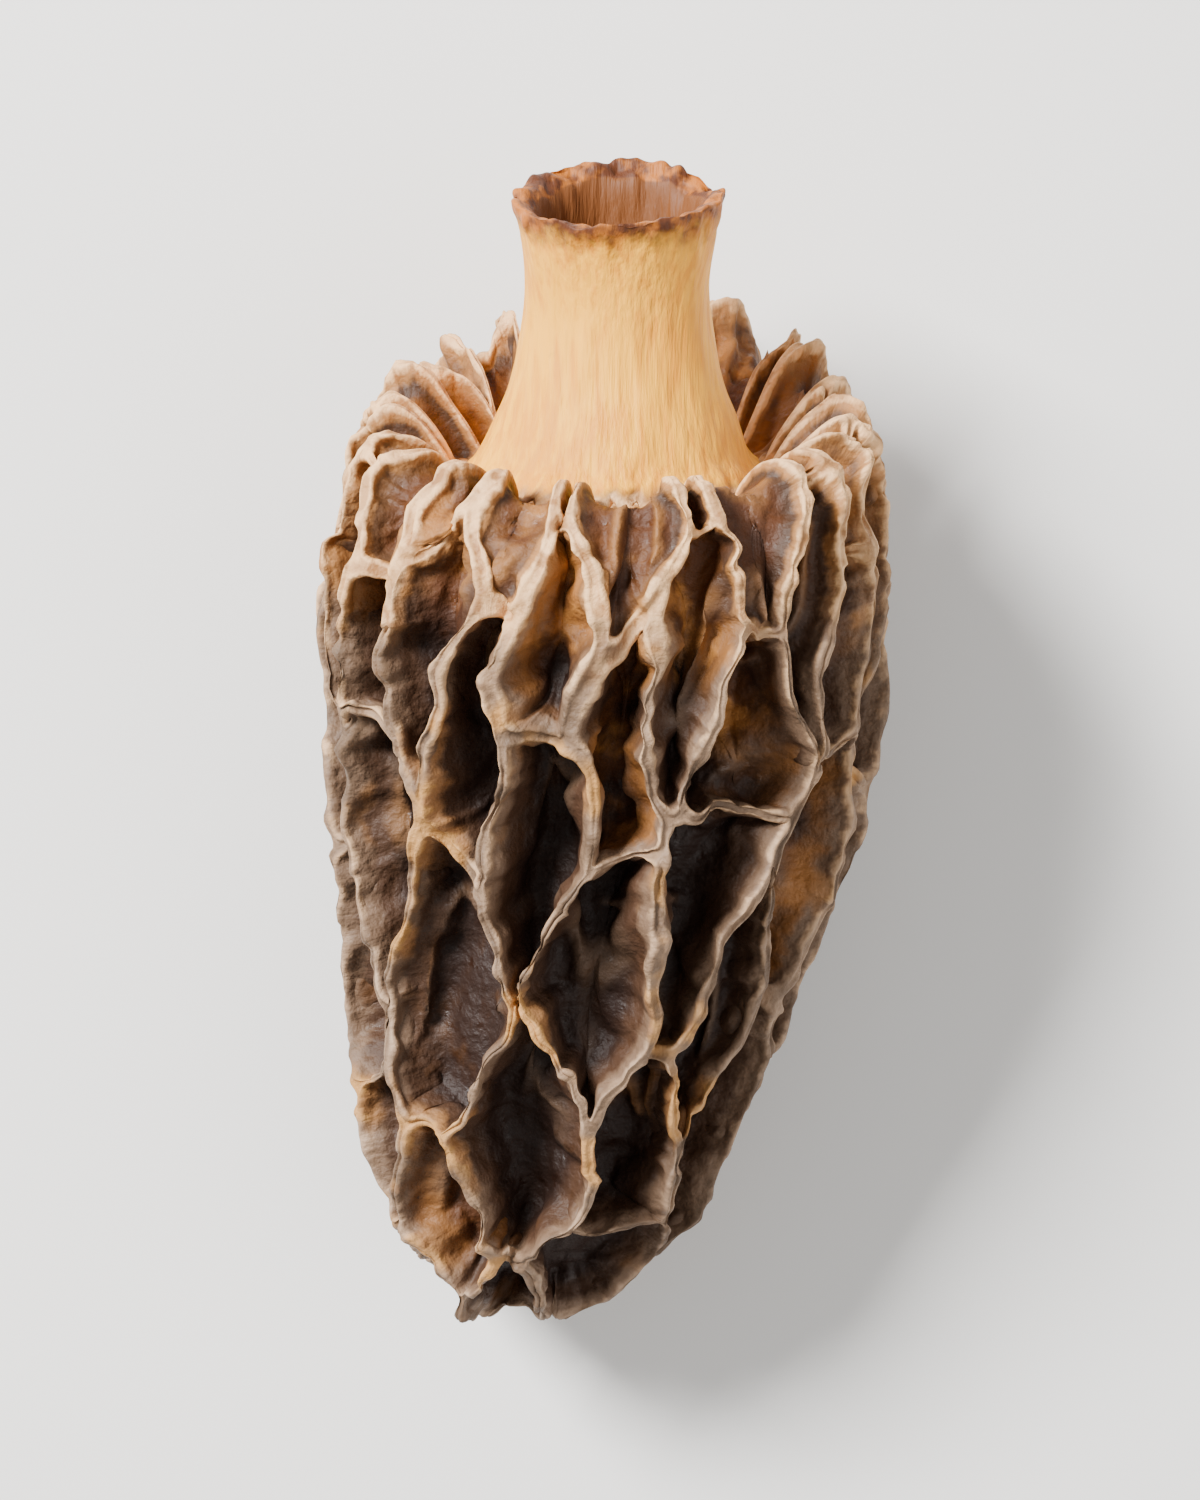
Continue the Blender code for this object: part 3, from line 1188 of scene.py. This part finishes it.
@dataclass(frozen=True)
class DriedFlesh:
    """The finish of the whole mushroom: golden stem, grey-brown crests with a painted highlight on
    their lips, and dark pits that are partly their own brown and partly painted shade.
    """

    crest: Colour = (0.12, 0.072, 0.042)
    crest_mid: Colour = (0.28, 0.175, 0.105)
    # The lips' two colours are a painted highlight along the ridges' edges, paler towards the stem
    # and dimmer towards the tip.
    crest_lip_painted_highlight: Colour = (0.60, 0.37, 0.20)
    lip_far_painted_highlight: Colour = (0.36, 0.235, 0.15)
    amber: Colour = (0.60, 0.29, 0.075)
    crest_near: Colour = (0.80, 0.47, 0.22)
    crest_near_mid: Colour = (0.32, 0.145, 0.05)
    flank: Colour = (0.16, 0.096, 0.058)
    flank_near: Colour = (0.34, 0.15, 0.046)
    # The dark wall and floor colours are the pits' own brown, darkened further as painted shade of
    # the deep pits.
    wall: Colour = (0.055, 0.025, 0.012)
    wall_warm: Colour = (0.30, 0.12, 0.03)
    pit_floor_painted_shade: Colour = (0.02, 0.0085, 0.005)
    pit_near: Colour = (0.075, 0.024, 0.007)
    pit_warm: Colour = (0.12, 0.04, 0.009)
    ochre: Colour = (0.48, 0.20, 0.045)
    stem: Colour = (0.75, 0.285, 0.008)
    stem_pale: Colour = (0.92, 0.42, 0.018)
    cut: Colour = (0.40, 0.12, 0.013)
    cut_dark: Colour = (0.09, 0.024, 0.006)
    # The hollow's colour: its own orange-brown, darkened as painted shade inside the bore.
    inside: Colour = (0.16, 0.05, 0.01)
    mottle: Patches = Patches(1.6, 5.0, (0.4, 0.62))
    lip_patches: Patches = Patches(1.5, 4.0, (0.42, 0.58))
    amber_patches: Patches = Patches(2.8, 3.0, (0.54, 0.64))
    worn_middle: Patches = Patches(0.9, 4.0, (0.4, 0.6))
    worn_spots: Patches = Patches(0.7, 5.0, (0.5, 0.66))
    warm_patches: Patches = Patches(2.6, 4.0, (0.38, 0.6))
    ochre_patches: Patches = Patches(1.2, 4.0, (0.46, 0.68))
    cut_patches: Patches = Patches(0.65, 4.0, (0.4, 0.6))
    damp_patches: Patches = Patches(0.4, 2.0, (0.56, 0.7))
    pit_wobble: Wobble = Wobble(0.6, 4.0, 0.3)
    wall_streaks: Wobble = Wobble(0.45, 3.0, 0.6, rooted=True)
    near_wobble: Wobble = Wobble(1.4, 4.0, 0.6)
    far_wobble: Wobble = Wobble(3.0, 2.0, 6.0)
    cut_wobble: Wobble = Wobble(0.5, 3.0, 0.8)
    lip_rise: Span = (0.07, 0.13)
    lip_fall: Span = (0.17, 0.27)
    middle_edge: Span = (0.05, 0.12)
    flank_edge: Span = (0.12, 0.26)
    lining_edge: Span = (0.28, 0.52)
    floor_edge: Span = (0.55, 0.85)
    near_edge: Span = (0.3, 0.8)
    near_flank_edge: Span = (0.35, 0.85)
    far_edge: Span = (-10.0, 2.0)
    amber_share: float = 0.65
    worn_share: float = 0.7
    vein_share: float = 0.6
    along_fibres: Triple = (1.0, 0.08, 1.0)
    fine_share: float = 0.6
    roughness: float = 0.58
    damp: float = 0.28
    shine: float = 0.3
    bump_strength: float = 0.9
    bump_height: float = 0.13

    def material(self, name: str) -> bpy.types.Material:
        """Make the material.

        Args:
            name: its name.

        Returns:
            The material.
        """
        material = bpy.data.materials.new(name)
        material.use_nodes = True
        shaders = Shaders(material)
        shader = material.node_tree.nodes["Principled BSDF"]
        on_stem = shaders.attribute(Mask.STEM).rise(0.2, 0.8)
        flesh = shaders.mix(on_stem, self._cap(shaders), self._stem(shaders))
        shaders.feed(shader.inputs["Base Color"], flesh)
        damp = shaders.attribute(Mask.PIT) * shaders.patches(self.damp_patches)
        shaders.feed(shader.inputs["Roughness"], self.roughness - damp * self.damp)
        shader.inputs["Specular IOR Level"].default_value = self.shine
        folds = shaders.noise(0.3, 3.0, rooted=True) * (1.0 - shaders.attribute(Mask.PIT))
        grain = shaders.noise(0.3, 6.0) + folds * self.fine_share
        fibres = shaders.noise(0.14, 4.0, self.along_fibres) * self.fine_share
        height = grain * (1.0 - on_stem) + fibres * on_stem
        depth = self.bump_height * MM
        inputs = {"Strength": self.bump_strength, "Distance": depth, "Height": height}
        bump = shaders.node("ShaderNodeBump", None, inputs)
        shaders.feed(shader.inputs["Normal"], bump.outputs[0])
        return material

    def _cap(self, shaders: Shaders) -> bpy.types.NodeSocket:
        """Colour the cap, from its crests down to its pits' floors, darker with depth: the flesh's
        own brown plus painted shade.

        Args:
            shaders: adds the nodes.

        Returns:
            The output with the colour.
        """
        depth = shaders.attribute(Mask.PIT)
        near = shaders.attribute(Mask.NEAR) + shaders.wobble(self.near_wobble)
        amber = shaders.patches(self.amber_patches)
        streaks = shaders.wobble(self.wall_streaks) * (1.0 - depth)
        pit = depth + shaders.wobble(self.pit_wobble) + streaks
        warm_side = near.rise(*self.near_flank_edge) + amber * self.worn_share
        flank = shaders.mix(warm_side, self.flank, self.flank_near)
        crest = self._crest(shaders, depth, near, amber)
        upper = shaders.mix(pit.rise(*self.flank_edge), crest, flank)
        on_vein = shaders.attribute(Mask.VEIN).rise(0.3, 1.0) * self.vein_share
        lining = shaders.mix(on_vein, self._lining(shaders, pit, near), flank)
        # Deeper in the pits the colour turns to the dark lining: partly the flesh's own brown,
        # partly painted shade.
        return shaders.mix(pit.rise(*self.lining_edge), upper, lining)

    def _crest(
        self, shaders: Shaders, depth: Value, near: Value, amber: Value
    ) -> bpy.types.NodeSocket:
        """Colour the ridges' crests: dark middles, pale lips that are a painted highlight, amber
        patches, cream at the stem.

        Args:
            shaders: adds the nodes.
            depth: the pit mask.
            near: the near mask, made uneven.
            amber: where the amber patches are.

        Returns:
            The output with the colour.
        """
        crest = shaders.mix(shaders.patches(self.mottle), self.crest, self.crest_mid)
        # Painted highlight: the pale lips along the ridges' edges, dimmer towards the tip.
        lip = depth.rise(*self.lip_rise) * (1.0 - depth.rise(*self.lip_fall))
        lip = lip * shaders.patches(self.lip_patches)
        far = (shaders.along() + shaders.wobble(self.far_wobble)).rise(*self.far_edge)
        crest = shaders.mix(lip, crest, shaders.mix(far, self.lip_far_painted_highlight, self.crest_lip_painted_highlight))
        crest = shaders.mix(amber * self.amber_share, crest, self.amber)
        worn = (1.0 - depth.rise(*self.middle_edge)) * shaders.patches(self.worn_middle)
        worn = (worn + shaders.patches(self.worn_spots)) * self.worn_share
        crest_near = shaders.mix(worn, self.crest_near, self.crest_near_mid)
        return shaders.mix(near.rise(*self.near_edge), crest, crest_near)

    def _lining(self, shaders: Shaders, pit: Value, near: Value) -> bpy.types.NodeSocket:
        """Colour the pits' lower walls and floors, some pits warmer than others; the dark walls and
        floors are partly the flesh's own brown and partly painted shade of the deep pits.

        Args:
            shaders: adds the nodes.
            pit: the pit mask, made uneven.
            near: the near mask, made uneven.

        Returns:
            The output with the colour.
        """
        warm = (shaders.attribute(Mask.TONE) + near * 0.6).rise(0.65, 1.0)
        warm = warm * shaders.patches(self.warm_patches)
        # Painted shade: the walls and floors here are darker than the flesh's own brown, near-black
        # on the floors.
        wall = shaders.mix(warm, self.wall, self.wall_warm)
        dark = shaders.mix(near.rise(*self.near_edge), self.pit_floor_painted_shade, self.pit_near)
        floor = shaders.mix(warm, dark, self.pit_warm)
        floor = shaders.mix(warm * shaders.patches(self.ochre_patches), floor, self.ochre)
        return shaders.mix(pit.rise(*self.floor_edge), wall, floor)

    def _stem(self, shaders: Shaders) -> bpy.types.NodeSocket:
        """Colour the stem, its cut end and the hollow, whose orange-brown is darkened as painted
        shade.

        Args:
            shaders: adds the nodes.

        Returns:
            The output with the colour.
        """
        streaks = shaders.noise(0.2, 4.0, self.along_fibres) * 0.6 + shaders.noise(2.5, 3.0) * 0.4
        cream = shaders.mix(streaks.rise(0.38, 0.6), self.stem, self.stem_pale)
        cut = shaders.mix(shaders.patches(self.cut_patches), self.cut, self.cut_dark)
        edge = shaders.attribute(Mask.CUT) + shaders.wobble(self.cut_wobble)
        cream = shaders.mix(edge.rise(0.1, 0.7), cream, cut)
        # Painted shade: the bore and the hollow cap are coloured darker than the cut flesh.
        return shaders.mix(shaders.attribute(Mask.INNER).rise(0.0, 0.3), cream, self.inside)


@dataclass
class Morel:
    """The whole mushroom as one piece."""

    surface: CapSurface = field(default_factory=CapSurface)
    drying: Drying = field(default_factory=Drying)
    stem: Stem = field(default_factory=Stem)
    finish: DriedFlesh = field(default_factory=DriedFlesh)
    noise_seed: int = 4
    smoothing: int = 2

    def build(self) -> bpy.types.Object:
        """Make the mushroom's object, in the row frame.

        Returns:
            The object.
        """
        skin = Skin()
        noise = Noise(self.noise_seed)
        cap = Cap(self.surface, PitNet(self.surface))
        rim = cap.weave(skin, noise)
        skin.shape_all(self.surface)
        groove = np.vstack(skin.points)[rim]
        self.stem.grow(skin, rim, np.arctan2(groove[:, 1], groove[:, 0]))
        coarse = skin.to_mesh("coarse")
        mesh = self._smoothed(coarse)
        self._wrinkle_and_lay(mesh, noise)
        mesh.shade_smooth()
        mesh.materials.append(self.finish.material("dried_flesh"))
        morel = bpy.data.objects.new("morel", mesh)
        bpy.context.scene.collection.objects.link(morel)
        return morel

    def _smoothed(self, coarse: bpy.types.Mesh) -> bpy.types.Mesh:
        """Subdivide a mesh smoothly.

        Args:
            coarse: the mesh, which is then removed.

        Returns:
            The new mesh.
        """
        held = bpy.data.objects.new("coarse", coarse)
        bpy.context.scene.collection.objects.link(held)
        modifier = held.modifiers.new("smooth", "SUBSURF")
        modifier.levels = modifier.render_levels = self.smoothing
        graph = bpy.context.evaluated_depsgraph_get()
        mesh = bpy.data.meshes.new_from_object(
            held.evaluated_get(graph), preserve_all_data_layers=True, depsgraph=graph
        )
        mesh.name = "morel"
        bpy.data.objects.remove(held)
        bpy.data.meshes.remove(coarse)
        return mesh

    def _wrinkle_and_lay(self, mesh: bpy.types.Mesh, noise: Noise) -> None:
        """Wrinkle the smooth shape, bend it as it dried, and lay it on the table.

        Args:
            mesh: the smooth shape, which is moved.
            noise: where the wrinkles come from.
        """
        points = read_all(mesh.vertices, "co", 3)
        normals = read_all(mesh.vertices, "normal", 3)
        roots = read_all(mesh.attributes[ROOT].data, "vector", 3)
        masks = {m: read_all(mesh.attributes[m.value].data, "value", 1)[:, 0] for m in Mask}
        wrinkles = Wrinkles(noise, points, roots, masks)
        masks[Mask.VEIN] = wrinkles.veins()
        veins = mesh.attributes[Mask.VEIN.value].data
        veins.foreach_set("value", masks[Mask.VEIN].astype(np.float32))
        moves = normals * wrinkles.depths()[:, None] + wrinkles.drift()
        bent = self.drying.bend(points + moves, self.surface.length, self.surface.widest)
        laid = self.drying.lay_down(bent) * MM
        mesh.vertices.foreach_set("co", laid.astype(np.float32).ravel())
        mesh.update()


@dataclass(frozen=True)
class Lamp:
    """A square lamp."""

    name: str
    place: Triple  # in metres
    size: float  # of a side, in metres
    power: float  # in watts


@dataclass
class Studio:
    """The table, the lights and the camera."""

    lamps: tuple[Lamp, ...] = (
        Lamp("key", (-0.17, 0.13, 0.20), 0.10, 2.9),
        Lamp("fill", (0.22, -0.10, 0.20), 0.30, 0.6),
    )
    sky_strength: float = 0.45
    table_size: float = 1.2
    table_colour: Colour = (0.86, 0.84, 0.81)
    table_roughness: float = 0.8
    lens: float = 100.0
    distance: float = 0.112
    elevation: float = math.radians(88)

    def build(self, aim: Vector) -> None:
        """Set the whole studio up round a point.

        Args:
            aim: the middle of what the camera looks at.
        """
        self._table()
        for lamp in self.lamps:
            self._hang(lamp, aim)
        self._world()
        self._camera(aim)

    def _table(self) -> None:
        """Lay a plain pale table top at height 0."""
        bpy.ops.mesh.primitive_plane_add(size=self.table_size)
        table = bpy.context.object
        table.name = "table"
        material = bpy.data.materials.new("table")
        material.use_nodes = True
        shader = material.node_tree.nodes["Principled BSDF"]
        shader.inputs["Base Color"].default_value = (*self.table_colour, 1.0)
        shader.inputs["Roughness"].default_value = self.table_roughness
        table.data.materials.append(material)

    @staticmethod
    def _hang(lamp: Lamp, aim: Vector) -> None:
        """Hang a lamp that faces a point.

        Args:
            lamp: what to hang.
            aim: the point.
        """
        light = bpy.data.lights.new(lamp.name, "AREA")
        light.size = lamp.size
        light.energy = lamp.power
        hung = bpy.data.objects.new(lamp.name, light)
        hung.location = lamp.place
        hung.rotation_euler = (aim - Vector(lamp.place)).to_track_quat("-Z", "Y").to_euler()
        bpy.context.scene.collection.objects.link(hung)

    def _world(self) -> None:
        """Light the whole scene a little from all round."""
        world = bpy.data.worlds.new("studio")
        world.use_nodes = True
        background = world.node_tree.nodes["Background"]
        background.inputs["Color"].default_value = (1.0, 1.0, 1.0, 1.0)
        background.inputs["Strength"].default_value = self.sky_strength
        bpy.context.scene.world = world

    def _camera(self, aim: Vector) -> None:
        """Look down on a point, with +Y at the top of the picture.

        Args:
            aim: the point.
        """
        camera = bpy.data.cameras.new("camera")
        camera.lens = self.lens
        camera.clip_start, camera.clip_end = 0.001, 10.0
        back = Vector((0, -math.cos(self.elevation), math.sin(self.elevation)))
        held = bpy.data.objects.new("camera", camera)
        held.location = aim + back * self.distance
        held.rotation_euler = (-back).to_track_quat("-Z", "Y").to_euler()
        bpy.context.scene.collection.objects.link(held)
        bpy.context.scene.camera = held


def main() -> None:
    """Build the mushroom, then the studio round it."""
    logging.basicConfig(level=logging.INFO, format="%(name)s: %(message)s")
    morel = Morel().build()
    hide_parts(NODE)
    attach(morel, BODY)
    LOG.info("%s has %d faces", morel.name, len(morel.data.polygons))
    low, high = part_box(NODE)
    Studio().build((low + high) / 2)


if __name__ == "__main__":
    main()
